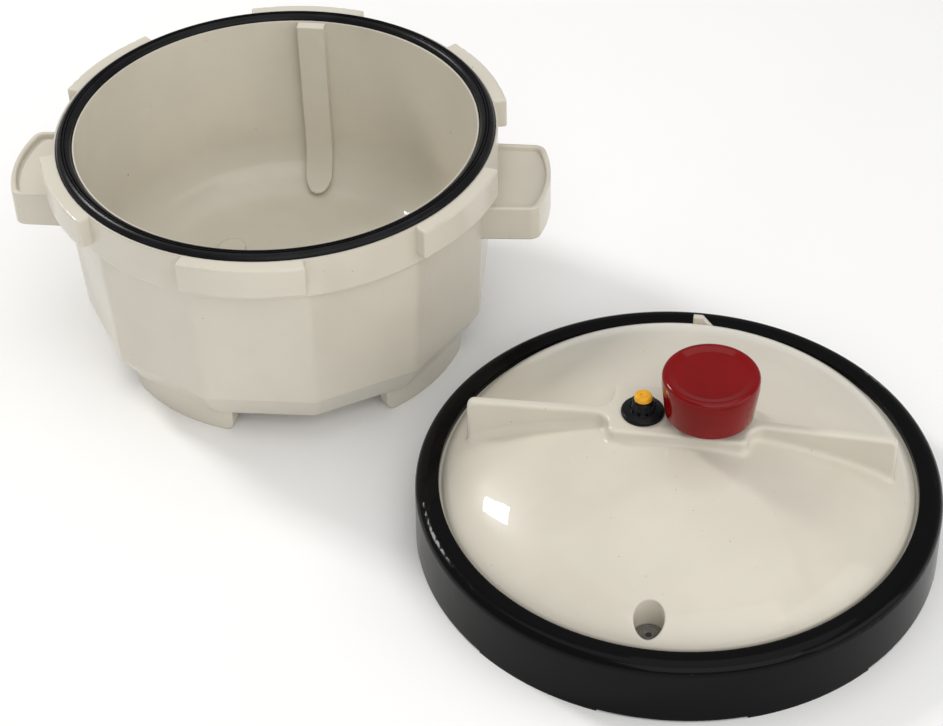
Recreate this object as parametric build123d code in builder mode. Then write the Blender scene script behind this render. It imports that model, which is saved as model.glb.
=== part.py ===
"""Plastic-bodied pressure cooker: an open pot beside its twist-lock lid, which lies the right way up."""

from build123d import *
import math
import os

os.makedirs("parts", exist_ok=True)

# ---------------------------------------------------------------- layout
POT_AT = Location((-90, 71.75, 0))
LID_AT = Location((105, -66.25, 0), (0, 0, -5))
LID_YAW = -5.0  # the lid lies turned this far from the pot's handles

# ---------------------------------------------------------------- pot
RIM_Z = 117.0  # rim ledge and lug tops
BAND_R = 105.8
BAND_BOTTOM = 95.0
LUG_R = 112.0
LUG_HEIGHT = 15.5
LUG_ARC = 30.4
FLATS = 12
BODY_TOP_APOTHEM = 100.6
BODY_LOW_APOTHEM = 97.6
BODY_LOW_Z = 29.0
BASE_Z = 13.0
BASE_APOTHEM = 88.5
BOWL_R = 96.0
BOWL_LOW_R = 94.0
BOWL_FLOOR = 20.0
BOWL_FILLET = 28.0
GROOVE_IN = 96.8
GROOVE_OUT = 104.8
GROOVE_FLOOR = 112.0
FOOT_R = 88.5
FOOT_WALL = 6.5
FOOT_ARC = 40.0
FOOT_AZIMUTH = -31.0
HANDLE_LOW = 75.0
HANDLE_TOP = 93.0
HANDLE_HALF = 27.5
HANDLE_REACH = 131.0
HANDLE_WALL = 3.2
HANDLE_TRAY = 2.6  # depth of the shallow tray in the handle top
HANDLE_LIP = 2.4
RACK_STUD_R = 44.0

# ---------------------------------------------------------------- lid
SEAL_Z = 24.0  # underside of the cover's rim, which meets the gasket
RIM_TOP = 28.0
COVER_R = 111.0
APEX_Z = 60.5
DECK_Z = 65.3
DECK_FRONT = -13.8
DECK_BACK = 19.0
DECK_LENGTH = 61.0
FIN_TOP = 63.8
SHELL = 3.4
FIN_END = 95.0
FIN_THICK = 5.0
REG_X = 12.5
PIN_X = -16.4
PLUG_X = -2.5
PLUG_Y = -96.5
RING_R = 118.0
RING_WALL_IN = 114.4
RING_MOUTH = 106.8
RING_TOP = 31.5
RING_LUG_IN = 108.0
RING_LUG_ARC = 27.0


def arc_sketch(r_in, r_out, centre, width):
    """Closed face between two radii over an arc, for a lug or a foot."""
    a = math.radians(centre - width / 2)
    m = math.radians(centre)
    b = math.radians(centre + width / 2)
    with BuildLine() as outline:
        ThreePointArc(
            (r_out * math.cos(a), r_out * math.sin(a)),
            (r_out * math.cos(m), r_out * math.sin(m)),
            (r_out * math.cos(b), r_out * math.sin(b)),
        )
        Line(
            (r_out * math.cos(b), r_out * math.sin(b)),
            (r_in * math.cos(b), r_in * math.sin(b)),
        )
        ThreePointArc(
            (r_in * math.cos(b), r_in * math.sin(b)),
            (r_in * math.cos(m), r_in * math.sin(m)),
            (r_in * math.cos(a), r_in * math.sin(a)),
        )
        Line(
            (r_in * math.cos(a), r_in * math.sin(a)),
            (r_out * math.cos(a), r_out * math.sin(a)),
        )
    make_face(outline.edges())


def handle_sketch(inset, root, side):
    """Plan of a side handle: straight flanks and a bowed grip edge."""
    edge = HANDLE_REACH - inset
    shoulder = HANDLE_REACH - 5.0 - inset
    half = HANDLE_HALF - inset
    with BuildLine() as outline:
        Line((side * root, -half), (side * shoulder, -half + 1.0))
        ThreePointArc(
            (side * shoulder, -half + 1.0),
            (side * edge, 0),
            (side * shoulder, half - 1.0),
        )
        Line((side * shoulder, half - 1.0), (side * root, half))
        Line((side * root, half), (side * root, -half))
    make_face(outline.edges())


# ================================================================ pot body
# Faceted shell, narrowing to the base.
with BuildPart() as pot_body:
    with BuildSketch(Plane.XY.offset(BAND_BOTTOM + 2)):
        RegularPolygon(BODY_TOP_APOTHEM, FLATS, major_radius=False, rotation=15)
    with BuildSketch(Plane.XY.offset(BODY_LOW_Z)):
        RegularPolygon(BODY_LOW_APOTHEM, FLATS, major_radius=False, rotation=15)
    loft()
    with BuildSketch(Plane.XY.offset(BODY_LOW_Z)):
        RegularPolygon(BODY_LOW_APOTHEM, FLATS, major_radius=False, rotation=15)
    with BuildSketch(Plane.XY.offset(BASE_Z)):
        RegularPolygon(BASE_APOTHEM, FLATS, major_radius=False, rotation=15)
    loft()
    upright = pot_body.edges().filter_by(lambda e: e.bounding_box().size.Z > 12)
    fillet(upright, 9)
    # Rim band, with the six bayonet lugs round it.
    with BuildSketch(Plane.XY.offset(BAND_BOTTOM)):
        Circle(BAND_R)
    extrude(amount=RIM_Z - BAND_BOTTOM)
    fillet(pot_body.edges().filter_by(GeomType.CIRCLE).group_by(Axis.Z)[-2], 2.0)
    with BuildPart(mode=Mode.PRIVATE) as lug:
        with BuildSketch(Plane.XY.offset(RIM_Z - LUG_HEIGHT)):
            arc_sketch(100.0, LUG_R, 0, LUG_ARC)
        extrude(amount=LUG_HEIGHT)
        outer_edges = lug.edges().filter_by(lambda e: math.hypot(e.center().X, e.center().Y) > 104)
        fillet(outer_edges, 1.1)
    with PolarLocations(0, 6, 30):
        add(lug.part)
    # Side handles, each with a shallow tray on top and a finger pocket below.
    with BuildPart(mode=Mode.PRIVATE) as handle:
        with BuildSketch(Plane.XY.offset(HANDLE_LOW)):
            handle_sketch(0, 90, 1)
        extrude(amount=HANDLE_TOP - HANDLE_LOW)
        fillet(handle.edges().filter_by(Axis.Z).group_by(Axis.X)[-1], 6.0)
        with BuildSketch(Plane.XY.offset(HANDLE_TOP - HANDLE_TRAY)) as tray:
            handle_sketch(HANDLE_LIP, 90, 1)
            fillet(tray.vertices().group_by(Axis.X)[-1], 4.0)
        extrude(amount=HANDLE_TRAY, mode=Mode.SUBTRACT)
        with BuildSketch(Plane.XY.offset(HANDLE_LOW)) as pocket:
            handle_sketch(HANDLE_WALL, 103.5, 1)
            fillet(pocket.vertices().group_by(Axis.X)[-1], 3.0)
        extrude(amount=HANDLE_TOP - HANDLE_LOW - HANDLE_TRAY - HANDLE_WALL, mode=Mode.SUBTRACT)
        fillet(handle.faces().sort_by(Axis.Z)[-1].edges().filter_by(lambda e: e.center().X > 95), 0.9)
    add(handle.part)
    with Locations(Rotation(0, 0, 180)):
        add(handle.part)
    # Bowl.
    with BuildSketch(Plane.XZ) as bowl_profile:
        with BuildLine():
            Polyline(
                (0, BOWL_FLOOR),
                (BOWL_LOW_R, BOWL_FLOOR),
                (BOWL_R, RIM_Z + 1),
                (0, RIM_Z + 1),
                close=True,
            )
        make_face()
        fillet(bowl_profile.vertices().sort_by_distance((BOWL_LOW_R, BOWL_FLOOR))[0], BOWL_FILLET)
    revolve(axis=Axis.Z, mode=Mode.SUBTRACT)
    # Seat for the gasket in the rim.
    with BuildSketch(Plane.XY.offset(GROOVE_FLOOR)):
        Circle(GROOVE_OUT)
        Circle(GROOVE_IN, mode=Mode.SUBTRACT)
    extrude(amount=RIM_Z - GROOVE_FLOOR + 1, mode=Mode.SUBTRACT)
    # Pilaster down the inside of the wall, following its curve and ending round on the floor.
    with BuildPart(mode=Mode.PRIVATE) as pilaster:
        with BuildSketch(Plane.XZ.offset(-96.5)):
            with Locations((0, 70)):
                SlotCenterToCenter(2 * (70 - 31), 14, rotation=90)
            with Locations((0, 110)):
                Rectangle(14, 13)
        extrude(amount=26)
        with BuildSketch(Plane.YZ):
            with BuildLine():
                Line((96.5, 116.5), (90.4, 116.5))
                Line((90.4, 116.5), (89.4, 52))
                Spline(
                    (89.4, 52),
                    (86.6, 37.5),
                    (82.3, 30.5),
                    (76.0, 25.0),
                    tangents=((-0.012, -1), (-0.85, -0.53)),
                )
                Line((76.0, 25.0), (72.0, 21.0))
                Line((72.0, 21.0), (96.5, 21.0))
                Line((96.5, 21.0), (96.5, 116.5))
            make_face()
        extrude(amount=10, both=True, mode=Mode.INTERSECT)
    with Locations(Rotation(0, 0, -2.3)):
        add(pilaster.part)
    # Rack studs on the bowl floor.
    with BuildSketch(Plane.XY.offset(BOWL_FLOOR - 1)):
        with PolarLocations(RACK_STUD_R, 3, 142):
            Circle(7)
    extrude(amount=5)
    # Four feet below the base.
    with BuildSketch(Plane.XY):
        for k in range(4):
            arc_sketch(FOOT_R - FOOT_WALL, FOOT_R, FOOT_AZIMUTH + 90 * k, FOOT_ARC)
    extrude(amount=BASE_Z + 0.5)
    foot_ends = (
        pot_body.edges()
        .filter_by(GeomType.LINE)
        .filter_by(lambda e: abs(e.center().Z) < 0.01 and e.length < 8)
    )
    fillet(foot_ends, 5)

pot_body.part.locate(POT_AT)
pot_body.part.label = "pot_body"
export_step(pot_body.part, "parts/pot_body.step")

# ================================================================ gasket
with BuildPart() as gasket:
    with BuildSketch(Plane.XZ) as gasket_profile:
        with Locations(((GROOVE_IN + GROOVE_OUT) / 2, GROOVE_FLOOR + 3.8)):
            Rectangle(GROOVE_OUT - GROOVE_IN - 0.2, 7.4)
        fillet(gasket_profile.vertices().group_by(Axis.Y)[-1], 3.5)
    revolve(axis=Axis.Z)

gasket.part.locate(POT_AT)
gasket.part.label = "gasket"
export_step(gasket.part, "parts/gasket.step")

# ================================================================ cover
DOME_LINE = (
    (0, APEX_Z),
    (50, 55.6),
    (80, 47.2),
    (97, 38.6),
    (104.6, 30.2),
)
DOME_ENDS = ((1, 0), (0.5, -0.87))

with BuildPart() as cover:
    # Dome with a thick sealing rim.
    with BuildSketch(Plane.XZ):
        with BuildLine():
            Spline(*DOME_LINE, tangents=DOME_ENDS)
            Line((104.6, 30.2), (105.6, RIM_TOP))
            Line((105.6, RIM_TOP), (COVER_R, RIM_TOP))
            Line((COVER_R, RIM_TOP), (COVER_R, SEAL_Z))
            Line((COVER_R, SEAL_Z), (94.6, SEAL_Z))
            Line((94.6, SEAL_Z), (94.0, 34.0))
            Spline(
                (94.0, 34.0),
                (78, 44.2),
                (50, 52.2),
                (0, APEX_Z - SHELL),
                tangents=((-0.88, 0.47), (-1, 0)),
            )
            Line((0, APEX_Z - SHELL), (0, APEX_Z))
        make_face()
    revolve(axis=Axis.Z)
    # Raised deck that carries the regulator and the indicator, running out into two grip fins.
    with BuildPart(mode=Mode.PRIVATE) as grip:
        with BuildSketch(Plane.XY.offset(36.5)) as plan:
            with Locations((0, (DECK_FRONT + DECK_BACK) / 2)):
                RectangleRounded(DECK_LENGTH, DECK_BACK - DECK_FRONT, 3.6)
            Rectangle(2 * FIN_END, FIN_THICK)
            fillet(plan.vertices().filter_by(lambda v: abs(v.X) < 32 and abs(v.Y) < 3), 7.0)
        extrude(amount=30)
        with BuildSketch(Plane.XZ) as side_view:
            Polygon(
                (-FIN_END, 36.5),
                (-FIN_END + 0.6, FIN_TOP),
                (-36, DECK_Z),
                (36, DECK_Z),
                (FIN_END - 0.6, FIN_TOP),
                (FIN_END, 36.5),
                (78, 45.6),
                (62, 51.0),
                (48, 54.3),
                (30, 57.0),
                (0, 58.4),
                (-30, 57.0),
                (-48, 54.3),
                (-62, 51.0),
                (-78, 45.6),
                align=None,
            )
            fillet(side_view.vertices().filter_by(lambda v: abs(v.Y - FIN_TOP) < 0.1), 3.5)
        extrude(amount=30, both=True, mode=Mode.INTERSECT)
        fillet(grip.edges().filter_by(lambda e: e.center().Z > 62.8 and abs(e.center().Y) > 0.2), 1.8)
    add(grip.part)
    foot_line = (
        cover.edges()
        .filter_by(lambda e: 38 < e.center().Z < 62 and e.length < 60)
        .filter_by(lambda e: e.geom_type not in (GeomType.LINE, GeomType.CIRCLE))
    )
    fillet(foot_line, 3.0)
    # Boss under the dome, kept below its outer surface, for the plug pocket.
    with BuildPart(mode=Mode.PRIVATE) as boss:
        with BuildSketch(Plane.XY.offset(SEAL_Z)):
            with Locations((PLUG_X, PLUG_Y)):
                Circle(9.0)
        extrude(amount=20)
        with BuildSketch(Plane.XZ):
            with BuildLine():
                Spline(*DOME_LINE, tangents=DOME_ENDS)
                Polyline((104.6, 30.2), (104.6, SEAL_Z), (0, SEAL_Z), (0, APEX_Z))
            make_face()
        revolve(axis=Axis.Z, mode=Mode.INTERSECT)
    add(boss.part)
    # Round pocket for the safety plug, with a pin hole through its floor.
    with BuildSketch(Plane.XY.offset(27.5)):
        with Locations((PLUG_X, PLUG_Y)):
            Circle(6.5)
    extrude(amount=20, mode=Mode.SUBTRACT)
    with BuildSketch(Plane.XY.offset(22)):
        with Locations((PLUG_X, PLUG_Y)):
            Circle(1.5)
    extrude(amount=8, mode=Mode.SUBTRACT)
    # Cored-out underside of the deck, and the two through holes.
    with BuildSketch(Plane.XY.offset(50)) as core:
        Rectangle(50, 19.5)
        fillet(core.vertices(), 6)
    extrude(amount=61.3 - 50, mode=Mode.SUBTRACT)
    with BuildSketch(Plane.XY.offset(55)):
        with Locations((REG_X, 0)):
            Circle(4.5)
        with Locations((PIN_X, 0)):
            Circle(4.4)
    extrude(amount=15, mode=Mode.SUBTRACT)
    # Index tab standing at the back edge, ramped on one side.
    with BuildSketch(Plane.XZ.offset(-105.4)):
        Polygon(
            (-2.4, 27.5),
            (-2.4, 37.6),
            (2.0, 37.6),
            (8.0, 30.5),
            (8.0, 27.5),
            align=None,
        )
    extrude(amount=3.2)

cover.part.locate(LID_AT)
cover.part.label = "cover"
export_step(cover.part, "parts/cover.step")

# ================================================================ lock ring
with BuildPart() as lock_ring:
    with BuildSketch(Plane.XZ) as ring_profile:
        with BuildLine():
            Polyline(
                (RING_MOUTH, RIM_TOP),
                (RING_MOUTH, RING_TOP - 0.4),
                (112.0, RING_TOP),
                (RING_R - 0.6, RING_TOP - 0.5),
                (RING_R, 0),
                (RING_WALL_IN, 0),
                (RING_WALL_IN, RIM_TOP),
                close=True,
            )
        make_face()
        fillet(ring_profile.vertices().sort_by_distance((RING_R, RING_TOP))[0], 4.5)
    revolve(axis=Axis.Z)
    # Raised lower edge between the lug sectors.
    with BuildSketch(Plane.XY):
        for k in range(6):
            arc_sketch(112, 121, 30 + 60 * k - LID_YAW, 60 - RING_LUG_ARC - 2)
    extrude(amount=1.0, mode=Mode.SUBTRACT)
    # Bayonet lugs that hook below the pot's lugs.
    with BuildSketch(Plane.XY.offset(0.5)):
        for k in range(6):
            arc_sketch(RING_LUG_IN, RING_WALL_IN + 1.5, 60 * k - LID_YAW, RING_LUG_ARC)
    extrude(amount=4.8)
    # Snap ribs that keep the cover's rim up against the flange.
    with BuildSketch(Plane.XY.offset(22.2)):
        for k in range(6):
            arc_sketch(109.8, RING_WALL_IN + 1.5, 30 + 60 * k - LID_YAW, 10)
    extrude(amount=SEAL_Z - 22.2)

lock_ring.part.locate(LID_AT)
lock_ring.part.label = "lock_ring"
export_step(lock_ring.part, "parts/lock_ring.step")

# ================================================================ vent stem
with BuildPart() as vent_stem:
    with BuildSketch(Plane.XY.offset(DECK_Z)):
        with Locations((REG_X, 0)):
            RegularPolygon(6.2, 6, major_radius=False)
    extrude(amount=2.2)
    with BuildSketch(Plane.XZ):
        with BuildLine():
            Polyline(
                (REG_X, 52.5),
                (REG_X + 4.45, 52.5),
                (REG_X + 4.45, DECK_Z + 1),
                (REG_X + 4.1, DECK_Z + 3),
                (REG_X + 4.1, 81.5),
                (REG_X + 3.4, 82.2),
                (REG_X, 82.2),
                close=True,
            )
        make_face()
    revolve(axis=Axis((REG_X, 0, 0), (0, 0, 1)))
    # Steam bore, and the cup the relief ball sits in.
    with BuildSketch(Plane.XY.offset(50)):
        with Locations((REG_X, 0)):
            Circle(1.5)
    extrude(amount=40, mode=Mode.SUBTRACT)
    with Locations((REG_X, 0, 81.5)):
        Sphere(3.15, mode=Mode.SUBTRACT)

vent_stem.part.locate(LID_AT)
vent_stem.part.label = "vent_stem"
export_step(vent_stem.part, "parts/vent_stem.step")

# ================================================================ vent washer
with BuildPart() as vent_washer:
    with BuildSketch(Plane.XY.offset(59.8)):
        with Locations((REG_X, 0)):
            Circle(7.6)
            Circle(4.5, mode=Mode.SUBTRACT)
    extrude(amount=1.5)

vent_washer.part.locate(LID_AT)
vent_washer.part.label = "vent_washer"
export_step(vent_washer.part, "parts/vent_washer.step")

# ================================================================ vent nut
with BuildPart() as vent_nut:
    with BuildSketch(Plane.XY.offset(56.0)) as nut_plan:
        with Locations((REG_X, 0)):
            RegularPolygon(7, 6, major_radius=False)
            Circle(4.5, mode=Mode.SUBTRACT)
    extrude(amount=3.8)

vent_nut.part.locate(LID_AT)
vent_nut.part.label = "vent_nut"
export_step(vent_nut.part, "parts/vent_nut.step")

# ================================================================ vent screen
# Slotted cap over the lower end of the stem.
with BuildPart() as vent_screen:
    with BuildSketch(Plane.XY.offset(50.5)):
        with Locations((REG_X, 0)):
            Circle(6)
    extrude(amount=5.2)
    with BuildSketch(Plane.XY.offset(52.5)):
        with Locations((REG_X, 0)):
            Circle(4.5)
    extrude(amount=4, mode=Mode.SUBTRACT)
    with BuildSketch(Plane.XY.offset(49)):
        for k in range(3):
            with Locations((REG_X + 2.6 * (k - 1), 0)):
                Rectangle(1.1, 7)
    extrude(amount=4, mode=Mode.SUBTRACT)

vent_screen.part.locate(LID_AT)
vent_screen.part.label = "vent_screen"
export_step(vent_screen.part, "parts/vent_screen.step")

# ================================================================ relief ball
with BuildPart() as relief_ball:
    with Locations((REG_X, 0, 81.5)):
        Sphere(3.0)

relief_ball.part.locate(LID_AT)
relief_ball.part.label = "relief_ball"
export_step(relief_ball.part, "parts/relief_ball.step")

# ================================================================ regulator cap
with BuildPart() as regulator_cap:
    with BuildSketch(Plane.XZ) as cap_profile:
        with BuildLine():
            Polyline(
                (REG_X, 89.6),
                (REG_X + 14.5, 90.4),
                (REG_X + 16.0, 91.2),
                (REG_X + 21.0, 91.2),
                (REG_X + 21.2, 85.0),
                (REG_X + 19.4, 70.0),
                (REG_X + 16.6, 70.0),
                (REG_X + 16.6, 86.6),
                (REG_X, 86.6),
                close=True,
            )
        make_face()
        fillet(cap_profile.vertices().sort_by_distance((REG_X + 21, 91.2))[0], 2.6)
        fillet(cap_profile.vertices().sort_by_distance((REG_X + 19.4, 70.0))[0], 1.4)
    revolve(axis=Axis((REG_X, 0, 0), (0, 0, 1)))

regulator_cap.part.locate(LID_AT)
regulator_cap.part.label = "regulator_cap"
export_step(regulator_cap.part, "parts/regulator_cap.step")

# ================================================================ regulator weight
with BuildPart() as regulator_weight:
    with BuildSketch(Plane.XY.offset(72.6)):
        with Locations((REG_X, 0)):
            Circle(16.4)
            Circle(7.2, mode=Mode.SUBTRACT)
    extrude(amount=14.0)
    chamfer(regulator_weight.faces().sort_by(Axis.Z)[0].outer_wire().edges(), 0.8)

regulator_weight.part.locate(LID_AT)
regulator_weight.part.label = "regulator_weight"
export_step(regulator_weight.part, "parts/regulator_weight.step")

# ================================================================ regulator socket
# Blind sleeve that drops over the vent stem and presses on the ball.
with BuildPart() as regulator_socket:
    with BuildSketch(Plane.XY.offset(70.6)):
        with Locations((REG_X, 0)):
            Circle(7.1)
    extrude(amount=16.0)
    with BuildSketch(Plane.XY.offset(67)):
        with Locations((REG_X, 0)):
            Circle(4.6)
    extrude(amount=17.9, mode=Mode.SUBTRACT)

regulator_socket.part.locate(LID_AT)
regulator_socket.part.label = "regulator_socket"
export_step(regulator_socket.part, "parts/regulator_socket.step")

# ================================================================ regulator base
# Disc that closes the cap below the weight.
with BuildPart() as regulator_base:
    with BuildSketch(Plane.XY.offset(70.6)):
        with Locations((REG_X, 0)):
            Circle(16.5)
            Circle(7.2, mode=Mode.SUBTRACT)
    extrude(amount=2.0)

regulator_base.part.locate(LID_AT)
regulator_base.part.label = "regulator_base"
export_step(regulator_base.part, "parts/regulator_base.step")

# ================================================================ indicator grommet
with BuildPart() as indicator_grommet:
    with BuildSketch(Plane.XZ):
        with BuildLine():
            Polyline(
                (PIN_X + 2.6, 59.3),
                (PIN_X + 6.4, 59.3),
                (PIN_X + 6.4, 61.3),
                (PIN_X + 4.3, 61.3),
                (PIN_X + 4.3, DECK_Z),
                (PIN_X + 9.6, DECK_Z),
                (PIN_X + 9.6, DECK_Z + 1.3),
                (PIN_X + 8.4, DECK_Z + 2.3),
                (PIN_X + 6.2, DECK_Z + 2.6),
                (PIN_X + 5.5, DECK_Z + 3.0),
                (PIN_X + 4.9, DECK_Z + 7.4),
                (PIN_X + 4.4, DECK_Z + 7.7),
                (PIN_X + 2.6, DECK_Z + 7.7),
                close=True,
            )
        make_face()
    revolve(axis=Axis((PIN_X, 0, 0), (0, 0, 1)))
    # Flutes round the hub.
    with BuildSketch(Plane.XY.offset(DECK_Z + 2.0)):
        with Locations((PIN_X, 0)):
            with PolarLocations(5.3, 10):
                Circle(0.7)
    extrude(amount=4.4)

indicator_grommet.part.locate(LID_AT)
indicator_grommet.part.label = "indicator_grommet"
export_step(indicator_grommet.part, "parts/indicator_grommet.step")

# ================================================================ indicator pin
with BuildPart() as indicator_pin:
    with BuildSketch(Plane.XZ) as pin_profile:
        with BuildLine():
            Polyline(
                (PIN_X, 51.0),
                (PIN_X + 1.9, 51.0),
                (PIN_X + 2.2, 51.5),
                (PIN_X + 2.2, DECK_Z + 8.0),
                (PIN_X + 4.1, DECK_Z + 8.0),
                (PIN_X + 3.7, 75.6),
                (PIN_X, 75.6),
                close=True,
            )
        make_face()
        fillet(pin_profile.vertices().sort_by_distance((PIN_X + 3.7, 75.6))[0], 0.8)
    revolve(axis=Axis((PIN_X, 0, 0), (0, 0, 1)))

indicator_pin.part.locate(LID_AT)
indicator_pin.part.label = "indicator_pin"
export_step(indicator_pin.part, "parts/indicator_pin.step")

# ================================================================ indicator clip
# Clip below the cover that stops the pin being pushed right out.
with BuildPart() as indicator_clip:
    with BuildSketch(Plane.XY.offset(52.0)):
        with Locations((PIN_X, 0)):
            Circle(4.6)
            Circle(2.2, mode=Mode.SUBTRACT)
    extrude(amount=1.2)

indicator_clip.part.locate(LID_AT)
indicator_clip.part.label = "indicator_clip"
export_step(indicator_clip.part, "parts/indicator_clip.step")

# ================================================================ safety plug
with BuildPart() as safety_plug:
    with BuildSketch(Plane.XZ):
        with BuildLine():
            Polyline(
                (0, 24.3),
                (1.5, 24.3),
                (1.5, 27.5),
                (6.3, 27.5),
                (6.3, 28.4),
                (5.9, 28.8),
                (5.4, 28.8),
                (5.2, 29.2),
                (4.6, 29.2),
                (4.4, 28.7),
                (3.8, 28.7),
                (3.6, 29.2),
                (3.0, 29.2),
                (2.8, 28.7),
                (2.2, 28.7),
                (2.0, 29.2),
                (0, 29.2),
                close=True,
            )
        make_face()
    revolve(axis=Axis.Z)
    with BuildSketch(Plane.XY.offset(27.6)):
        Circle(1.4)
    extrude(amount=8, mode=Mode.SUBTRACT)

safety_plug.part.locate(LID_AT * Location((PLUG_X, PLUG_Y, 0)))
safety_plug.part.label = "safety_plug"
export_step(safety_plug.part, "parts/safety_plug.step")

# ================================================================ safety plug core
with BuildPart() as safety_plug_core:
    with BuildSketch(Plane.XY.offset(27.6)):
        Circle(1.4)
    extrude(amount=1.0)

safety_plug_core.part.locate(LID_AT * Location((PLUG_X, PLUG_Y, 0)))
safety_plug_core.part.label = "safety_plug_core"
export_step(safety_plug_core.part, "parts/safety_plug_core.step")
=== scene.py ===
"""Plastic pressure cooker: an open pot with its gasket, beside the domed twist-lock lid."""

import math

import bmesh
import bpy
from bpy.props import FloatProperty, FloatVectorProperty, IntProperty, PointerProperty
from mathutils import Matrix, Vector


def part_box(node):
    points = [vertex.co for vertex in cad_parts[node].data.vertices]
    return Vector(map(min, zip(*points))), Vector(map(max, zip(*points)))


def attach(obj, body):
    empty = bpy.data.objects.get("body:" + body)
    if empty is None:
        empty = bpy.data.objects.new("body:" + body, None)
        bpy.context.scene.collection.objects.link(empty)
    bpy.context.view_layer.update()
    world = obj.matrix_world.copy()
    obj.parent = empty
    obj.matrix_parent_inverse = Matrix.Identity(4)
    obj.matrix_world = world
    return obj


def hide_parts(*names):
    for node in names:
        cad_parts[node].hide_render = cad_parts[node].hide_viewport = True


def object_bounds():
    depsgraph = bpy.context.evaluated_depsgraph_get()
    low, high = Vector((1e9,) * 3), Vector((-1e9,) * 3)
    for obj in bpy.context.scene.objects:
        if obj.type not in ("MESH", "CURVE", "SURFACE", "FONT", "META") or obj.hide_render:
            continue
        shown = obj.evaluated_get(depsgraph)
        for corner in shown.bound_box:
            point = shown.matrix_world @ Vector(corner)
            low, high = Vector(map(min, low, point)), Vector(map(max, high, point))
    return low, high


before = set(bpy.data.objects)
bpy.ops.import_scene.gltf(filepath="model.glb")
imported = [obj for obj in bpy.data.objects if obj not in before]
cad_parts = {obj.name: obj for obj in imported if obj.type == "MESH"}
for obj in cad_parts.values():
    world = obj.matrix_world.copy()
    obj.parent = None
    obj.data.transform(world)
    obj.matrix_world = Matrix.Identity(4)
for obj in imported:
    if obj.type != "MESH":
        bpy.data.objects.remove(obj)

CAD_LOW, CAD_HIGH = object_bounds()

bl_info = {
    "name": "Plastic pressure cooker",
    "version": (1, 0, 0),
    "blender": (4, 5, 0),
    "location": "3D View > Sidebar > Cooker",
    "description": "Finishes the pot, lid and regulator of a moulded pressure cooker",
    "category": "Object",
}

MM = 0.001
GRAIN_DEPTH = 0.4 * MM
SPECK_RARITY = 3.0  # power that makes most specks small
SPECK_SHARPNESS = 60.0
DUST = (0.2, 0.2, 0.2)
SENSOR_WIDTH = 36.0
FLOOR_HALF = 6.0
FLOOR_GAP = 0.02 * MM


# ---------------------------------------------------------------- places taken from the frame


def middle(node):
    """Centre of a CAD node's box."""
    low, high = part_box(node)
    return (low + high) / 2


def reach(node):
    """Half the width of a CAD node's box along X."""
    low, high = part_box(node)
    return (high.x - low.x) / 2


# ---------------------------------------------------------------- sizes and colours


class CookerFinish(bpy.types.PropertyGroup):
    """Colours of the moulded pieces."""

    ivory: FloatVectorProperty(
        name="Ivory plastic",
        description="Body colour of the pot and the cover",
        subtype="COLOR",
        default=(0.65, 0.61, 0.52),
        min=0.0,
        max=1.0,
    )
    speck: FloatVectorProperty(
        name="Specks",
        description="Colour of the fine specks in the ivory plastic",
        subtype="COLOR",
        default=(0.12, 0.09, 0.06),
        min=0.0,
        max=1.0,
    )
    black: FloatVectorProperty(
        name="Lock ring",
        description="Colour of the black lock ring",
        subtype="COLOR",
        default=(0.0022, 0.0022, 0.0024),
        min=0.0,
        max=1.0,
    )
    rubber: FloatVectorProperty(
        name="Gasket rubber",
        description="Colour of the rim gasket and the indicator grommet",
        subtype="COLOR",
        default=(0.006, 0.006, 0.007),
        min=0.0,
        max=1.0,
    )
    red: FloatVectorProperty(
        name="Regulator red",
        description="Colour of the regulator cap",
        subtype="COLOR",
        default=(0.19, 0.0012, 0.002),
        min=0.0,
        max=1.0,
    )
    yellow: FloatVectorProperty(
        name="Indicator yellow",
        description="Colour of the pressure indicator",
        subtype="COLOR",
        default=(0.85, 0.42, 0.01),
        min=0.0,
        max=1.0,
    )
    grey: FloatVectorProperty(
        name="Safety plug grey",
        description="Colour of the safety plug",
        subtype="COLOR",
        default=(0.16, 0.15, 0.135),
        min=0.0,
        max=1.0,
    )


class GasketSizes(bpy.types.PropertyGroup):
    """Sizes of the rim gasket."""

    width: FloatProperty(
        name="Width",
        description="Radial width of the gasket",
        unit="LENGTH",
        default=7.6 * MM,
    )
    crown: FloatProperty(
        name="Crown",
        description="Radius of the rounded upper edges",
        unit="LENGTH",
        default=3.4 * MM,
    )
    groove: FloatProperty(
        name="Groove",
        description="Depth of the sealing groove in the crown",
        unit="LENGTH",
        default=0.2 * MM,
    )
    steps: IntProperty(
        name="Steps",
        description="Number of steps around the ring",
        default=192,
        min=24,
    )


class RegulatorSizes(bpy.types.PropertyGroup):
    """Sizes of the red regulator cap."""

    edge: FloatProperty(
        name="Edge",
        description="Radius of the rounded top edge",
        unit="LENGTH",
        default=1.8 * MM,
    )
    rim: FloatProperty(
        name="Rim",
        description="Width of the flat band round the dished top",
        unit="LENGTH",
        default=2.6 * MM,
    )
    dish: FloatProperty(
        name="Dish",
        description="Depth of the dished top",
        unit="LENGTH",
        default=0.9 * MM,
    )
    wall: FloatProperty(
        name="Wall",
        description="Thickness of the skirt at its upper edge",
        unit="LENGTH",
        default=4.6 * MM,
    )
    taper: FloatProperty(
        name="Taper",
        description="How much narrower the cap is at its lower edge",
        unit="LENGTH",
        default=1.8 * MM,
    )
    steps: IntProperty(
        name="Steps",
        description="Number of steps around the cap",
        default=128,
        min=24,
    )


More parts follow.
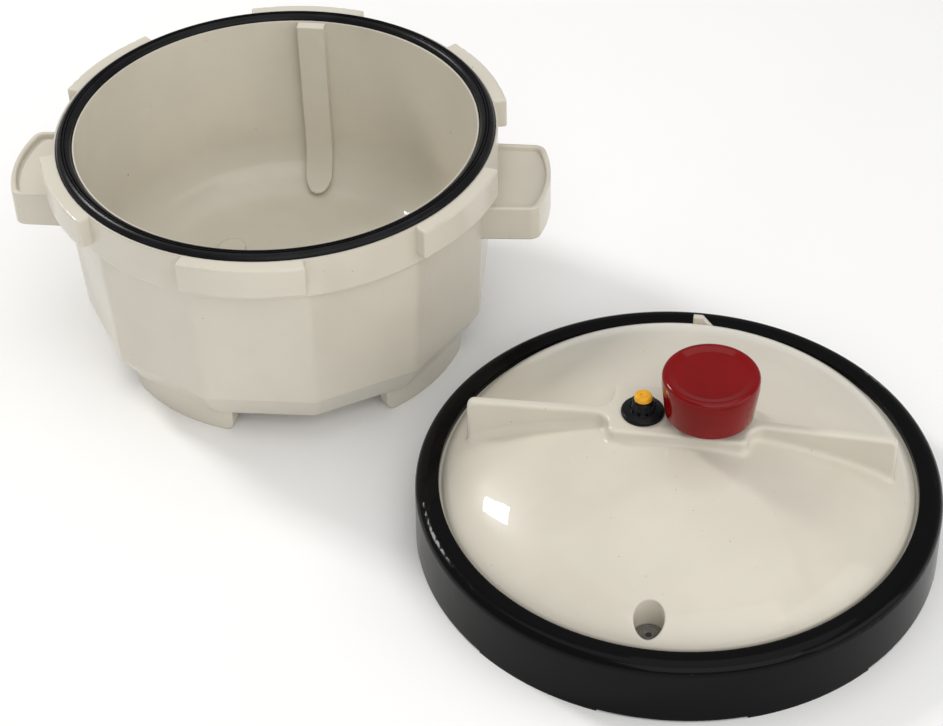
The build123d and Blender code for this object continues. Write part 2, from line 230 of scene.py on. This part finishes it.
class IndicatorSizes(bpy.types.PropertyGroup):
    """Sizes of the pressure indicator and its grommet."""

    hub: FloatProperty(
        name="Hub",
        description="Radius of the grommet's hub at its foot",
        unit="LENGTH",
        default=5.5 * MM,
    )
    flange: FloatProperty(
        name="Flange",
        description="Thickness of the grommet's flange",
        unit="LENGTH",
        default=2.6 * MM,
    )
    flutes: IntProperty(
        name="Flutes",
        description="Number of upright ribs round the hub",
        default=10,
        min=0,
    )
    flute: FloatProperty(
        name="Flute",
        description="Radius of one rib",
        unit="LENGTH",
        default=0.7 * MM,
    )
    head: FloatProperty(
        name="Head",
        description="Height of the yellow head",
        unit="LENGTH",
        default=2.3 * MM,
    )
    stem: FloatProperty(
        name="Stem",
        description="Radius of the yellow stem",
        unit="LENGTH",
        default=2.2 * MM,
    )


class PlugSizes(bpy.types.PropertyGroup):
    """Sizes of the grey safety plug."""

    rings: IntProperty(
        name="Rings",
        description="Number of fine rings on the face",
        default=3,
        min=0,
    )
    ring: FloatProperty(
        name="Ring",
        description="Height of one ring",
        unit="LENGTH",
        default=0.5 * MM,
    )
    hole: FloatProperty(
        name="Hole",
        description="Radius of the hole for the core",
        unit="LENGTH",
        default=1.4 * MM,
    )


class CookerStage(bpy.types.PropertyGroup):
    """Camera, lights and floor."""

    lens: FloatProperty(
        name="Lens",
        description="Focal length of the camera in millimetres",
        default=82.7,
        min=20.0,
        max=300.0,
    )
    pitch: FloatProperty(
        name="Pitch",
        description="Angle of the camera below the horizon",
        subtype="ANGLE",
        default=0.7033,
    )
    yaw: FloatProperty(
        name="Yaw",
        description="Turn of the camera about the vertical",
        subtype="ANGLE",
        default=0.1015,
    )
    roll: FloatProperty(
        name="Roll",
        description="Tilt of the camera about its own line of sight",
        subtype="ANGLE",
        default=-0.0309,
    )
    place: FloatVectorProperty(
        name="Place",
        description="Where the camera stands",
        subtype="TRANSLATION",
        unit="LENGTH",
        default=(0.0865, -0.7768, 0.6971),
    )
    key: FloatProperty(
        name="Key light",
        description="Power of the small softbox on the left",
        default=8.5,
        min=0.0,
    )
    front: FloatProperty(
        name="Front light",
        description="Power of the large softbox in front",
        default=17.0,
        min=0.0,
    )
    side: FloatProperty(
        name="Side light",
        description="Power of the softbox on the right",
        default=6.0,
        min=0.0,
    )
    top: FloatProperty(
        name="Top light",
        description="Power of the wide light overhead",
        default=11.0,
        min=0.0,
    )
    sky: FloatProperty(
        name="Room light",
        description="Strength of the plain light all round",
        default=0.38,
        min=0.0,
    )


# ---------------------------------------------------------------- shader groups

SOCKETS = {
    "float": "NodeSocketFloat",
    "color": "NodeSocketColor",
    "vector": "NodeSocketVector",
}


def group_shell(name, inputs, outputs):
    """A node group with those sockets, its input node and its output node."""
    group = bpy.data.node_groups.new(name, "ShaderNodeTree")
    for label, kind, value in inputs:
        made = group.interface.new_socket(
            name=label, in_out="INPUT", socket_type=SOCKETS[kind]
        )
        if value is not None:
            made.default_value = value
    for label, kind in outputs:
        group.interface.new_socket(
            name=label, in_out="OUTPUT", socket_type=SOCKETS[kind]
        )
    return group, group.nodes.new("NodeGroupInput"), group.nodes.new("NodeGroupOutput")


def maths(tree, operation, first, second=None, third=None, clamp=False):
    """A maths node whose inputs are sockets or plain numbers; returns its output."""
    node = tree.nodes.new("ShaderNodeMath")
    node.operation = operation
    node.use_clamp = clamp
    for index, value in enumerate((first, second, third)):
        if value is None:
            continue
        if isinstance(value, (int, float)):
            node.inputs[index].default_value = value
        else:
            tree.links.new(value, node.inputs[index])
    return node.outputs[0]


def ramp(tree, value, low, high, out_low=0.0, out_high=1.0):
    """Smooth remap of a value from low..high to out_low..out_high."""
    node = tree.nodes.new("ShaderNodeMapRange")
    node.interpolation_type = "SMOOTHSTEP"
    node.inputs["From Min"].default_value = low
    node.inputs["From Max"].default_value = high
    node.inputs["To Min"].default_value = out_low
    node.inputs["To Max"].default_value = out_high
    tree.links.new(value, node.inputs["Value"])
    return node.outputs["Result"]


def noise(tree, vector, scale, detail=3.0, roughness=0.55):
    """Noise factor at that scale."""
    node = tree.nodes.new("ShaderNodeTexNoise")
    node.inputs["Scale"].default_value = scale
    node.inputs["Detail"].default_value = detail
    node.inputs["Roughness"].default_value = roughness
    tree.links.new(vector, node.inputs["Vector"])
    return node.outputs["Fac"]


def speck_group():
    """Mask of sparse round specks of uneven size."""
    group, start, end = group_shell(
        "sparse specks",
        [("Vector", "vector", None), ("Scale", "float", 120.0), ("Size", "float", 0.05)],
        [("Mask", "float")],
    )
    cells = group.nodes.new("ShaderNodeTexVoronoi")
    cells.feature = "F1"
    cells.inputs["Randomness"].default_value = 1.0
    group.links.new(start.outputs["Vector"], cells.inputs["Vector"])
    group.links.new(start.outputs["Scale"], cells.inputs["Scale"])
    split = group.nodes.new("ShaderNodeSeparateColor")
    group.links.new(cells.outputs["Color"], split.inputs["Color"])
    share = maths(group, "POWER", split.outputs["Red"], SPECK_RARITY)
    radius = maths(group, "MULTIPLY", share, start.outputs["Size"])
    edge = maths(group, "SUBTRACT", radius, cells.outputs["Distance"])
    sharp = maths(group, "MULTIPLY", edge, SPECK_SHARPNESS, clamp=True)
    group.links.new(sharp, end.inputs["Mask"])
    return group


def edge_wear_and_highlight_group():
    """Mask of outer edges, which the materials lighten as part wear and part painted
    highlight, and the softened normal that rounds them.
    """
    group, start, end = group_shell(
        "edge wear",
        [("Radius", "float", 0.001), ("Vector", "vector", None)],
        [("Normal", "vector"), ("Edge", "float")],
    )
    bevel = group.nodes.new("ShaderNodeBevel")
    bevel.samples = 6
    group.links.new(start.outputs["Radius"], bevel.inputs["Radius"])
    flat = group.nodes.new("ShaderNodeNewGeometry")
    turn = group.nodes.new("ShaderNodeVectorMath")
    turn.operation = "DOT_PRODUCT"
    group.links.new(bevel.outputs["Normal"], turn.inputs[0])
    group.links.new(flat.outputs["Normal"], turn.inputs[1])
    bent = maths(group, "SUBTRACT", 1.0, turn.outputs["Value"])
    mask = ramp(group, bent, 0.02, 0.25)
    patchy = ramp(group, noise(group, start.outputs["Vector"], 240.0), 0.45, 0.7)
    group.links.new(maths(group, "MULTIPLY", mask, patchy), end.inputs["Edge"])
    group.links.new(bevel.outputs["Normal"], end.inputs["Normal"])
    return group


def gloss_group():
    """Roughness that drifts over a piece, with faint rubbed patches."""
    group, start, end = group_shell(
        "gloss drift",
        [("Vector", "vector", None), ("Level", "float", 0.2), ("Range", "float", 0.05)],
        [("Roughness", "float"), ("Rub", "float")],
    )
    broad = noise(group, start.outputs["Vector"], 14.0, 2.0)
    fine = noise(group, start.outputs["Vector"], 95.0, 5.0)
    mixed = maths(group, "MULTIPLY_ADD", fine, 0.5, maths(group, "MULTIPLY", broad, 0.5))
    centred = maths(group, "SUBTRACT", mixed, 0.5)
    drift = maths(group, "MULTIPLY", centred, start.outputs["Range"])
    drift = maths(group, "MULTIPLY", drift, 4.0)
    total = maths(group, "ADD", drift, start.outputs["Level"], clamp=True)
    group.links.new(total, end.inputs["Roughness"])
    group.links.new(ramp(group, fine, 0.58, 0.72), end.inputs["Rub"])
    return group


def grain_group():
    """Height of a fine moulded surface: a slow waver under a very fine grain."""
    group, start, end = group_shell(
        "mould grain",
        [("Vector", "vector", None), ("Fine", "float", 900.0)],
        [("Height", "float")],
    )
    waver = noise(group, start.outputs["Vector"], 28.0, 1.0)
    grain = group.nodes.new("ShaderNodeTexNoise")
    grain.inputs["Detail"].default_value = 2.0
    group.links.new(start.outputs["Vector"], grain.inputs["Vector"])
    group.links.new(start.outputs["Fine"], grain.inputs["Scale"])
    height = maths(
        group, "MULTIPLY_ADD", grain.outputs["Fac"], 0.06, maths(group, "MULTIPLY", waver, 0.6)
    )
    group.links.new(height, end.inputs["Height"])
    return group


GROUPS = {}


def shared(name):
    """The shared group of that name, made on first use."""
    makers = {
        "specks": speck_group,
        "wear_and_highlight": edge_wear_and_highlight_group,
        "gloss": gloss_group,
        "grain": grain_group,
    }
    if name not in GROUPS:
        GROUPS[name] = makers[name]()
    return GROUPS[name]


# ---------------------------------------------------------------- materials


class Finish:
    """A material with a Principled shader, object coordinates and the shared groups."""

    def __init__(self, name):
        self.material = bpy.data.materials.new(name)
        self.material.use_nodes = True
        self.tree = self.material.node_tree
        self.shader = self.tree.nodes["Principled BSDF"]
        self.place = self.tree.nodes.new("ShaderNodeTexCoord").outputs["Object"]

    def group(self, name, **values):
        """The shared group, fed with object coordinates."""
        node = self.tree.nodes.new("ShaderNodeGroup")
        node.node_tree = shared(name)
        if "Vector" in node.inputs:
            self.tree.links.new(self.place, node.inputs["Vector"])
        for label, value in values.items():
            node.inputs[label].default_value = value
        return node

    def blend(self, factor, first, second):
        """Mix of two colours, each a socket or three numbers."""
        node = self.tree.nodes.new("ShaderNodeMix")
        node.data_type = "RGBA"
        self.tree.links.new(factor, node.inputs["Factor"])
        for socket, value in ((node.inputs["A"], first), (node.inputs["B"], second)):
            if isinstance(value, bpy.types.NodeSocket):
                self.tree.links.new(value, socket)
            else:
                socket.default_value = (*value, 1.0)
        return node.outputs["Result"]

    def surface(self, color, level, spread, radius, grain, strength):
        """Links colour, drifting roughness and the softened, grained normal."""
        links = self.tree.links
        links.new(color, self.shader.inputs["Base Color"])
        gloss = self.group("gloss", Level=level, Range=spread)
        links.new(gloss.outputs["Roughness"], self.shader.inputs["Roughness"])
        wear_and_highlight = self.group("wear_and_highlight", Radius=radius)
        bump = self.tree.nodes.new("ShaderNodeBump")
        bump.inputs["Strength"].default_value = strength
        bump.inputs["Distance"].default_value = GRAIN_DEPTH
        height = self.group("grain", Fine=grain)
        links.new(height.outputs["Height"], bump.inputs["Height"])
        links.new(wear_and_highlight.outputs["Normal"], bump.inputs["Normal"])
        links.new(bump.outputs["Normal"], self.shader.inputs["Normal"])

    def sheen(self, specular, coat=0.0, coat_roughness=0.03):
        """Sets the base reflection and the clear coat over it."""
        self.shader.inputs["Specular IOR Level"].default_value = specular
        self.shader.inputs["Coat Weight"].default_value = coat
        self.shader.inputs["Coat Roughness"].default_value = coat_roughness


def tint(color, factor):
    """A colour made lighter or darker."""
    return tuple(min(1.0, channel * factor) for channel in color)


def ivory_material(sizes):
    """Glossy ivory plastic with fine dark specks."""
    made = Finish("ivory plastic")
    coarse = made.group("specks", Scale=85.0, Size=0.055)
    small = made.group("specks", Scale=260.0, Size=0.075)
    both = maths(made.tree, "MAXIMUM", coarse.outputs["Mask"], small.outputs["Mask"])
    mottle = ramp(made.tree, noise(made.tree, made.place, 22.0), 0.3, 0.7)
    body = made.blend(mottle, tint(sizes.ivory, 0.97), tint(sizes.ivory, 1.03))
    # Edges lightened to a paler ivory: partly wear, partly painted highlight along the rims.
    wear_and_highlight = made.group("wear_and_highlight", Radius=1.2 * MM)
    worn_and_highlit = made.blend(
        maths(made.tree, "MULTIPLY", wear_and_highlight.outputs["Edge"], 0.35), body, tint(sizes.ivory, 1.12)
    )
    color = made.blend(maths(made.tree, "MULTIPLY", both, 0.75), worn_and_highlit, tuple(sizes.speck))
    made.surface(color, level=0.32, spread=0.06, radius=1.1 * MM, grain=700.0, strength=0.1)
    made.sheen(specular=0.3, coat=0.4, coat_roughness=0.025)
    return made.material


def black_material(sizes):
    """Glossy black plastic with edges lightened to grey, partly rubbed wear and partly painted
    highlight.
    """
    made = Finish("black plastic")
    # The edge mask lightens the rims: partly rubbed wear, partly painted highlight.
    wear_and_highlight = made.group("wear_and_highlight", Radius=1.0 * MM)
    dust = made.group("specks", Scale=160.0, Size=0.05)
    worn_and_highlit = made.blend(
        maths(made.tree, "MULTIPLY", wear_and_highlight.outputs["Edge"], 0.25),
        tuple(sizes.black),
        (0.05, 0.05, 0.052),
    )
    dusty = maths(made.tree, "MULTIPLY", dust.outputs["Mask"], 0.3)
    color = made.blend(dusty, worn_and_highlit, DUST)
    made.surface(color, level=0.2, spread=0.06, radius=1.2 * MM, grain=800.0, strength=0.1)
    made.sheen(specular=0.05, coat=0.13, coat_roughness=0.025)
    return made.material


def rubber_material(sizes):
    """Dark rubber with a low sheen and a dusting of pale specks."""
    made = Finish("rubber")
    dust = made.group("specks", Scale=300.0, Size=0.05)
    cloudy = ramp(made.tree, noise(made.tree, made.place, 60.0), 0.35, 0.75)
    body = made.blend(cloudy, tuple(sizes.rubber), tint(sizes.rubber, 1.9))
    dusty = maths(made.tree, "MULTIPLY", dust.outputs["Mask"], 0.35)
    color = made.blend(dusty, body, DUST)
    made.surface(color, level=0.26, spread=0.07, radius=0.5 * MM, grain=1400.0, strength=0.2)
    made.sheen(specular=0.13)
    return made.material


def satin_material(sizes):
    """Satin black plastic of the vent parts."""
    made = Finish("satin plastic")
    # Edges lightened to grey: partly wear, partly painted highlight.
    wear_and_highlight = made.group("wear_and_highlight", Radius=0.3 * MM)
    color = made.blend(wear_and_highlight.outputs["Edge"], (0.02, 0.02, 0.022), (0.09, 0.09, 0.09))
    made.surface(color, level=0.42, spread=0.06, radius=0.3 * MM, grain=1500.0, strength=0.2)
    return made.material


def ceramic_material(sizes):
    """Smooth white ceramic."""
    made = Finish("white ceramic")
    spots = made.group("specks", Scale=500.0, Size=0.06)
    color = made.blend(spots.outputs["Mask"], (0.78, 0.77, 0.73), (0.45, 0.42, 0.36))
    made.surface(color, level=0.3, spread=0.05, radius=0.3 * MM, grain=1500.0, strength=0.1)
    return made.material


def red_material(sizes):
    """High-gloss red plastic."""
    made = Finish("red plastic")
    deep = ramp(made.tree, noise(made.tree, made.place, 50.0), 0.3, 0.7)
    body = made.blend(deep, tint(sizes.red, 0.9), tint(sizes.red, 1.1))
    # Edges lightened to a paler red: partly wear, partly painted highlight along the rim.
    wear_and_highlight = made.group("wear_and_highlight", Radius=0.6 * MM)
    color = made.blend(
        maths(made.tree, "MULTIPLY", wear_and_highlight.outputs["Edge"], 0.3), body, tint(sizes.red, 1.8)
    )
    made.surface(color, level=0.14, spread=0.04, radius=0.5 * MM, grain=1200.0, strength=0.08)
    made.sheen(specular=0.1, coat=0.3, coat_roughness=0.03)
    return made.material


def yellow_material(sizes):
    """Semi-gloss yellow plastic."""
    made = Finish("yellow plastic")
    deep = ramp(made.tree, noise(made.tree, made.place, 300.0), 0.3, 0.7)
    color = made.blend(deep, tint(sizes.yellow, 0.88), tint(sizes.yellow, 1.05))
    made.surface(color, level=0.3, spread=0.05, radius=0.3 * MM, grain=1500.0, strength=0.15)
    return made.material


def plug_material(sizes):
    """Matte grey rubber of the safety plug."""
    made = Finish("plug rubber")
    cloudy = ramp(made.tree, noise(made.tree, made.place, 400.0), 0.35, 0.7)
    color = made.blend(cloudy, tint(sizes.grey, 0.8), tint(sizes.grey, 1.15))
    made.surface(color, level=0.55, spread=0.06, radius=0.2 * MM, grain=2000.0, strength=0.3)
    return made.material


MATERIALS = {}


def material(name):
    """The material of that name, made on first use."""
    makers = {
        "ivory": ivory_material,
        "black": black_material,
        "rubber": rubber_material,
        "satin": satin_material,
        "ceramic": ceramic_material,
        "red": red_material,
        "yellow": yellow_material,
        "plug": plug_material,
    }
    if name not in MATERIALS:
        MATERIALS[name] = makers[name](bpy.context.scene.cooker_finish)
    return MATERIALS[name]


def paint(node, name):
    """Gives a CAD node a material."""
    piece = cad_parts[node]
    piece.data.materials.clear()
    piece.data.materials.append(material(name))
    return piece


# ---------------------------------------------------------------- modelling helpers


def filleted(corners, segments=6, closed=True):
    """Outline points from corners (x, z, radius), each corner turned into an arc."""
    line = []
    count = len(corners)
    for index, (x, z, radius) in enumerate(corners):
        here = Vector((x, z))
        if radius <= 0.0 or (not closed and index in (0, count - 1)):
            line.append(here)
            continue
        before = (Vector(corners[index - 1][:2]) - here).normalized()
        after = (Vector(corners[(index + 1) % count][:2]) - here).normalized()
        half = before.angle(after) / 2
        centre = here + (before + after).normalized() * (radius / math.sin(half))
        first = here + before * (radius / math.tan(half)) - centre
        last = here + after * (radius / math.tan(half)) - centre
        start = math.atan2(first.y, first.x)
        sweep = math.atan2(last.y, last.x) - start
        sweep = (sweep + math.pi) % (2 * math.pi) - math.pi
        for step in range(segments + 1):
            angle = start + sweep * step / segments
            line.append(centre + Vector((math.cos(angle), math.sin(angle))) * radius)
    return line


def turned(name, outline, centre, steps, closed=True):
    """A piece spun about the vertical line through centre from an (r, z) outline."""
    mesh = bpy.data.meshes.new(name)
    form = bmesh.new()
    ring = [form.verts.new((centre.x + p.x, centre.y, p.y)) for p in outline]
    pairs = list(zip(ring, ring[1:]))
    if closed:
        pairs.append((ring[-1], ring[0]))
    edges = [form.edges.new(pair) for pair in pairs]
    bmesh.ops.spin(
        form,
        geom=ring + edges,
        cent=(centre.x, centre.y, 0.0),
        axis=(0.0, 0.0, 1.0),
        angle=2 * math.pi,
        steps=steps,
        use_merge=True,
    )
    bmesh.ops.remove_doubles(form, verts=form.verts, dist=1e-6)
    bmesh.ops.recalc_face_normals(form, faces=form.faces)
    for face in form.faces:
        face.smooth = True
    form.to_mesh(mesh)
    form.free()
    piece = bpy.data.objects.new(name, mesh)
    bpy.context.scene.collection.objects.link(piece)
    return piece


def settle(piece, body, finish, slot, *nodes):
    """Gives a new piece its body and material and hides the CAD nodes it stands for; the slot
    it is passed is not used.
    """
    piece.data.materials.append(material(finish))
    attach(piece, body)
    if nodes:
        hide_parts(*nodes)
    return piece


# ---------------------------------------------------------------- operators


class COOKER_OT_pot(bpy.types.Operator):
    """Finish the moulded pot"""

    bl_idname = "cooker.pot"
    bl_label = "Pot"

    def execute(self, context):
        paint("pot_body", "ivory")
        return {"FINISHED"}


class COOKER_OT_cover(bpy.types.Operator):
    """Finish the domed cover"""

    bl_idname = "cooker.cover"
    bl_label = "Cover"

    def execute(self, context):
        paint("cover", "ivory")
        return {"FINISHED"}


class COOKER_OT_lock_ring(bpy.types.Operator):
    """Finish the black lock ring"""

    bl_idname = "cooker.lock_ring"
    bl_label = "Lock ring"

    def execute(self, context):
        paint("lock_ring", "black")
        return {"FINISHED"}


class COOKER_OT_gasket(bpy.types.Operator):
    """Model the rim gasket with its rounded crown and sealing groove"""

    bl_idname = "cooker.gasket"
    bl_label = "Gasket"

    def execute(self, context):
        sizes = context.scene.cooker_gasket
        low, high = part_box("gasket")
        outer = reach("gasket")
        inner = outer - sizes.width
        centre = (outer + inner) / 2
        heel = 0.6 * MM
        groove_half = 0.9 * MM
        outline = filleted(
            [
                (inner, low.z, heel),
                (outer, low.z, heel),
                (outer, high.z, sizes.crown),
                (centre + groove_half, high.z, 0.4 * MM),
                (centre, high.z - sizes.groove, 0.5 * MM),
                (centre - groove_half, high.z, 0.4 * MM),
                (inner, high.z, sizes.crown),
            ]
        )
        piece = turned("gasket_ring", outline, middle("gasket"), sizes.steps)
        settle(piece, "seal", "rubber", "gasket_rubber", "gasket")
        return {"FINISHED"}


class COOKER_OT_regulator(bpy.types.Operator):
    """Model the red regulator cap with its dished top"""

    bl_idname = "cooker.regulator"
    bl_label = "Regulator"

    def execute(self, context):
        sizes = context.scene.cooker_regulator
        low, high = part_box("regulator_cap")
        outer = reach("regulator_cap")
        dish_slope = 3.0 * MM
        straight = 6.0 * MM
        ceiling = high.z - 4.6 * MM
        outline = filleted(
            [
                (0.0, high.z - sizes.dish, 0.0),
                (outer - sizes.rim - dish_slope, high.z - sizes.dish, 2.5 * MM),
                (outer - sizes.rim, high.z, 0.6 * MM),
                (outer, high.z, sizes.edge),
                (outer, high.z - straight, 0.0),
                (outer - sizes.taper, low.z, 1.3 * MM),
                (outer - sizes.wall, low.z, 0.4 * MM),
                (outer - sizes.wall, ceiling, 0.0),
                (0.0, ceiling, 0.0),
            ],
            closed=False,
        )
        piece = turned(
            "regulator_shell", outline, middle("regulator_cap"), sizes.steps, closed=False
        )
        settle(piece, "regulator", "red", "red_plastic", "regulator_cap")
        paint("regulator_socket", "red")
        paint("regulator_base", "red")
        paint("regulator_weight", "ceramic")
        return {"FINISHED"}


class COOKER_OT_vent(bpy.types.Operator):
    """Finish the vent stem and the parts that clamp it"""

    bl_idname = "cooker.vent"
    bl_label = "Vent"

    def execute(self, context):
        for node in ("vent_stem", "vent_nut", "vent_screen"):
            paint(node, "satin")
        paint("vent_washer", "rubber")
        paint("relief_ball", "ceramic")
        return {"FINISHED"}


def fluted_grommet(sizes):
    """The rubber grommet: a flange on the deck and a hub with flutes round it."""
    low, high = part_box("indicator_grommet")
    centre = middle("indicator_grommet")
    outer = reach("indicator_grommet")
    inner = sizes.stem + 0.4 * MM
    deck = high.z - 7.7 * MM
    bead_r = 6.4 * MM
    bead_top = low.z + 2.0 * MM
    neck_r = 4.3 * MM
    outline = filleted(
        [
            (inner, low.z, 0.0),
            (bead_r, low.z, 0.5 * MM),
            (bead_r, bead_top, 0.3 * MM),
            (neck_r, bead_top, 0.2 * MM),
            (neck_r, deck, 0.0),
            (outer, deck, 0.3 * MM),
            (outer, deck + sizes.flange * 0.75, 0.9 * MM),
            (sizes.hub, deck + sizes.flange, 0.6 * MM),
            (sizes.hub - 0.9 * MM, high.z, 0.8 * MM),
            (inner, high.z, 0.0),
        ],
        segments=4,
    )
    grommet = turned("grommet", outline, centre, 64)
    form = bmesh.new()
    form.from_mesh(grommet.data)
    flute_low = 1.8 * MM
    flute_top = 1.3 * MM
    length = high.z - flute_top - deck - flute_low
    circle = sizes.hub - 0.25 * MM
    for index in range(sizes.flutes):
        angle = 2 * math.pi * index / sizes.flutes
        lean = circle * Vector((math.cos(angle), math.sin(angle), 0.0))
        place = Vector((centre.x, centre.y, deck + flute_low + length / 2)) + lean
        bmesh.ops.create_cone(
            form,
            cap_ends=True,
            segments=12,
            radius1=sizes.flute,
            radius2=sizes.flute * 0.55,
            depth=length,
            matrix=Matrix.Translation(place),
        )
    for face in form.faces:
        face.smooth = True
    form.to_mesh(grommet.data)
    form.free()
    return grommet


def headed_pin(sizes):
    """The indicator pin: a stem below a wider head with a shallow dimple."""
    low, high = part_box("indicator_pin")
    head = high.z - sizes.head
    outer = reach("indicator_pin")
    dimple = high.z - 0.35 * MM
    outline = filleted(
        [
            (0.0, low.z, 0.0),
            (sizes.stem - 0.2 * MM, low.z, 0.3 * MM),
            (sizes.stem, head, 0.0),
            (outer, head, 0.25 * MM),
            (outer - 0.35 * MM, high.z, 0.7 * MM),
            (1.5 * MM, high.z, 0.3 * MM),
            (1.2 * MM, dimple, 0.2 * MM),
            (0.0, dimple, 0.0),
        ],
        segments=4,
        closed=False,
    )
    return turned("indicator_button", outline, middle("indicator_pin"), 48, closed=False)


class COOKER_OT_indicator(bpy.types.Operator):
    """Model the yellow indicator and its fluted rubber grommet"""

    bl_idname = "cooker.indicator"
    bl_label = "Indicator"

    def execute(self, context):
        sizes = context.scene.cooker_indicator
        grommet = fluted_grommet(sizes)
        settle(grommet, "lid", "rubber", "grommet_rubber", "indicator_grommet")
        pin = headed_pin(sizes)
        settle(pin, "indicator", "yellow", "yellow_plastic", "indicator_pin")
        paint("indicator_clip", "satin")
        return {"FINISHED"}


class COOKER_OT_plug(bpy.types.Operator):
    """Model the ringed safety plug"""

    bl_idname = "cooker.plug"
    bl_label = "Safety plug"

    def execute(self, context):
        sizes = context.scene.cooker_plug
        low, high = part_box("safety_plug")
        outer = reach("safety_plug")
        face = high.z - sizes.ring
        spigot = 1.5 * MM
        flange = low.z + 3.2 * MM
        first_ring = outer - 0.9 * MM
        hole_floor = low.z + 3.3 * MM
        corners = [
            (0.0, low.z, 0.0),
            (spigot, low.z, 0.3 * MM),
            (spigot, flange, 0.0),
            (outer, flange, 0.2 * MM),
            (outer, face, 0.3 * MM),
        ]
        pitch = (first_ring - sizes.hole) / max(1, sizes.rings)
        for index in range(sizes.rings):
            edge = first_ring - pitch * index
            corners += [
                (edge, face, 0.1 * MM),
                (edge - 0.15 * pitch, high.z, 0.15 * MM),
                (edge - 0.5 * pitch, high.z, 0.15 * MM),
                (edge - 0.65 * pitch, face, 0.1 * MM),
            ]
        corners += [
            (sizes.hole + 0.1 * MM, face, 0.0),
            (sizes.hole, face - 0.2 * MM, 0.0),
            (sizes.hole, hole_floor, 0.0),
            (0.0, hole_floor, 0.0),
        ]
        plug = turned(
            "plug", filleted(corners, 3, closed=False), middle("safety_plug"), 64, closed=False
        )
        settle(plug, "lid", "plug", "plug_rubber", "safety_plug")
        paint("safety_plug_core", "satin")
        return {"FINISHED"}


WARM = (1.0, 0.985, 0.96)
WHITE = (1.0, 1.0, 1.0)

# Place, width, height and colour of each softbox; its power is the stage size of that name.
SOFTBOXES = {
    "key": ((-1.0, 0.56, 1.07), 0.21, 0.36, WARM),
    "front": ((0.55, -1.45, 1.35), 2.0, 1.7, WARM),
    "side": ((1.65, -0.55, 0.75), 1.3, 1.1, WARM),
    "top": ((0.2, 0.1, 2.2), 2.0, 2.0, WHITE),
}


def softbox(name, place, target, width, height, power, color):
    """A rectangular area light aimed at a point."""
    light = bpy.data.lights.new(name, "AREA")
    light.shape = "RECTANGLE"
    light.size = width
    light.size_y = height
    light.energy = power
    light.color = color
    lamp = bpy.data.objects.new(name, light)
    lamp.location = place
    lamp.rotation_euler = (Vector(target) - Vector(place)).to_track_quat("-Z", "Y").to_euler()
    bpy.context.scene.collection.objects.link(lamp)
    return lamp


class COOKER_OT_stage(bpy.types.Operator):
    """Set up the floor, the lights and the camera"""

    bl_idname = "cooker.stage"
    bl_label = "Stage"

    def execute(self, context):
        sizes = context.scene.cooker_stage
        mesh = bpy.data.meshes.new("floor")
        form = bmesh.new()
        bmesh.ops.create_grid(form, x_segments=4, y_segments=4, size=FLOOR_HALF)
        form.to_mesh(mesh)
        form.free()
        floor = bpy.data.objects.new("floor", mesh)
        context.scene.collection.objects.link(floor)
        floor.location.z = CAD_LOW.z - FLOOR_GAP
        made = Finish("floor")
        cloud = ramp(made.tree, noise(made.tree, made.place, 3.0), 0.3, 0.7)
        color = made.blend(cloud, (0.94, 0.94, 0.94), (0.96, 0.96, 0.96))
        made.tree.links.new(color, made.shader.inputs["Base Color"])
        made.shader.inputs["Roughness"].default_value = 0.85
        made.shader.inputs["Specular IOR Level"].default_value = 0.1
        mesh.materials.append(made.material)

        world = bpy.data.worlds.new("studio")
        world.use_nodes = True
        back = world.node_tree.nodes["Background"]
        back.inputs["Color"].default_value = (1.0, 1.0, 1.0, 1.0)
        back.inputs["Strength"].default_value = sizes.sky
        context.scene.world = world

        target = (CAD_LOW + CAD_HIGH) / 2
        for name, (place, width, height, color) in SOFTBOXES.items():
            softbox(name, place, target, width, height, getattr(sizes, name), color)
        context.scene.view_settings.view_transform = "Standard"

        data = bpy.data.cameras.new("camera")
        data.lens = sizes.lens
        data.sensor_width = SENSOR_WIDTH
        data.clip_start = 0.01
        data.clip_end = 50.0
        camera = bpy.data.objects.new("camera", data)
        turn = (
            Matrix.Rotation(sizes.yaw, 4, "Z")
            @ Matrix.Rotation(math.pi / 2 - sizes.pitch, 4, "X")
            @ Matrix.Rotation(sizes.roll, 4, "Z")
        )
        camera.matrix_world = Matrix.Translation(sizes.place) @ turn
        context.scene.collection.objects.link(camera)
        context.scene.camera = camera
        return {"FINISHED"}


PARTS = (
    COOKER_OT_pot,
    COOKER_OT_cover,
    COOKER_OT_lock_ring,
    COOKER_OT_gasket,
    COOKER_OT_regulator,
    COOKER_OT_vent,
    COOKER_OT_indicator,
    COOKER_OT_plug,
    COOKER_OT_stage,
)


class COOKER_PT_panel(bpy.types.Panel):
    """Sidebar panel of the cooker"""

    bl_label = "Pressure cooker"
    bl_idname = "COOKER_PT_panel"
    bl_space_type = "VIEW_3D"
    bl_region_type = "UI"
    bl_category = "Cooker"

    def draw(self, context):
        for group in GROUPS_OF_SIZES:
            sizes = getattr(context.scene, "cooker_" + group)
            box = self.layout.box()
            for name in sizes.__annotations__:
                box.prop(sizes, name)
        for part in PARTS:
            self.layout.operator(part.bl_idname)


GROUPS_OF_SIZES = {
    "finish": CookerFinish,
    "gasket": GasketSizes,
    "regulator": RegulatorSizes,
    "indicator": IndicatorSizes,
    "plug": PlugSizes,
    "stage": CookerStage,
}


def register():
    """Registers the sizes, the operators and the panel."""
    for kind in (*GROUPS_OF_SIZES.values(), *PARTS, COOKER_PT_panel):
        bpy.utils.register_class(kind)
    for name, kind in GROUPS_OF_SIZES.items():
        setattr(bpy.types.Scene, "cooker_" + name, PointerProperty(type=kind))


def unregister():
    """Takes everything that register() added away again."""
    for name in GROUPS_OF_SIZES:
        delattr(bpy.types.Scene, "cooker_" + name)
    for kind in (COOKER_PT_panel, *reversed(PARTS), *GROUPS_OF_SIZES.values()):
        bpy.utils.unregister_class(kind)


def main():
    register()
    for part in PARTS:
        group, name = part.bl_idname.split(".")
        getattr(getattr(bpy.ops, group), name)()


if __name__ == "__main__":
    main()
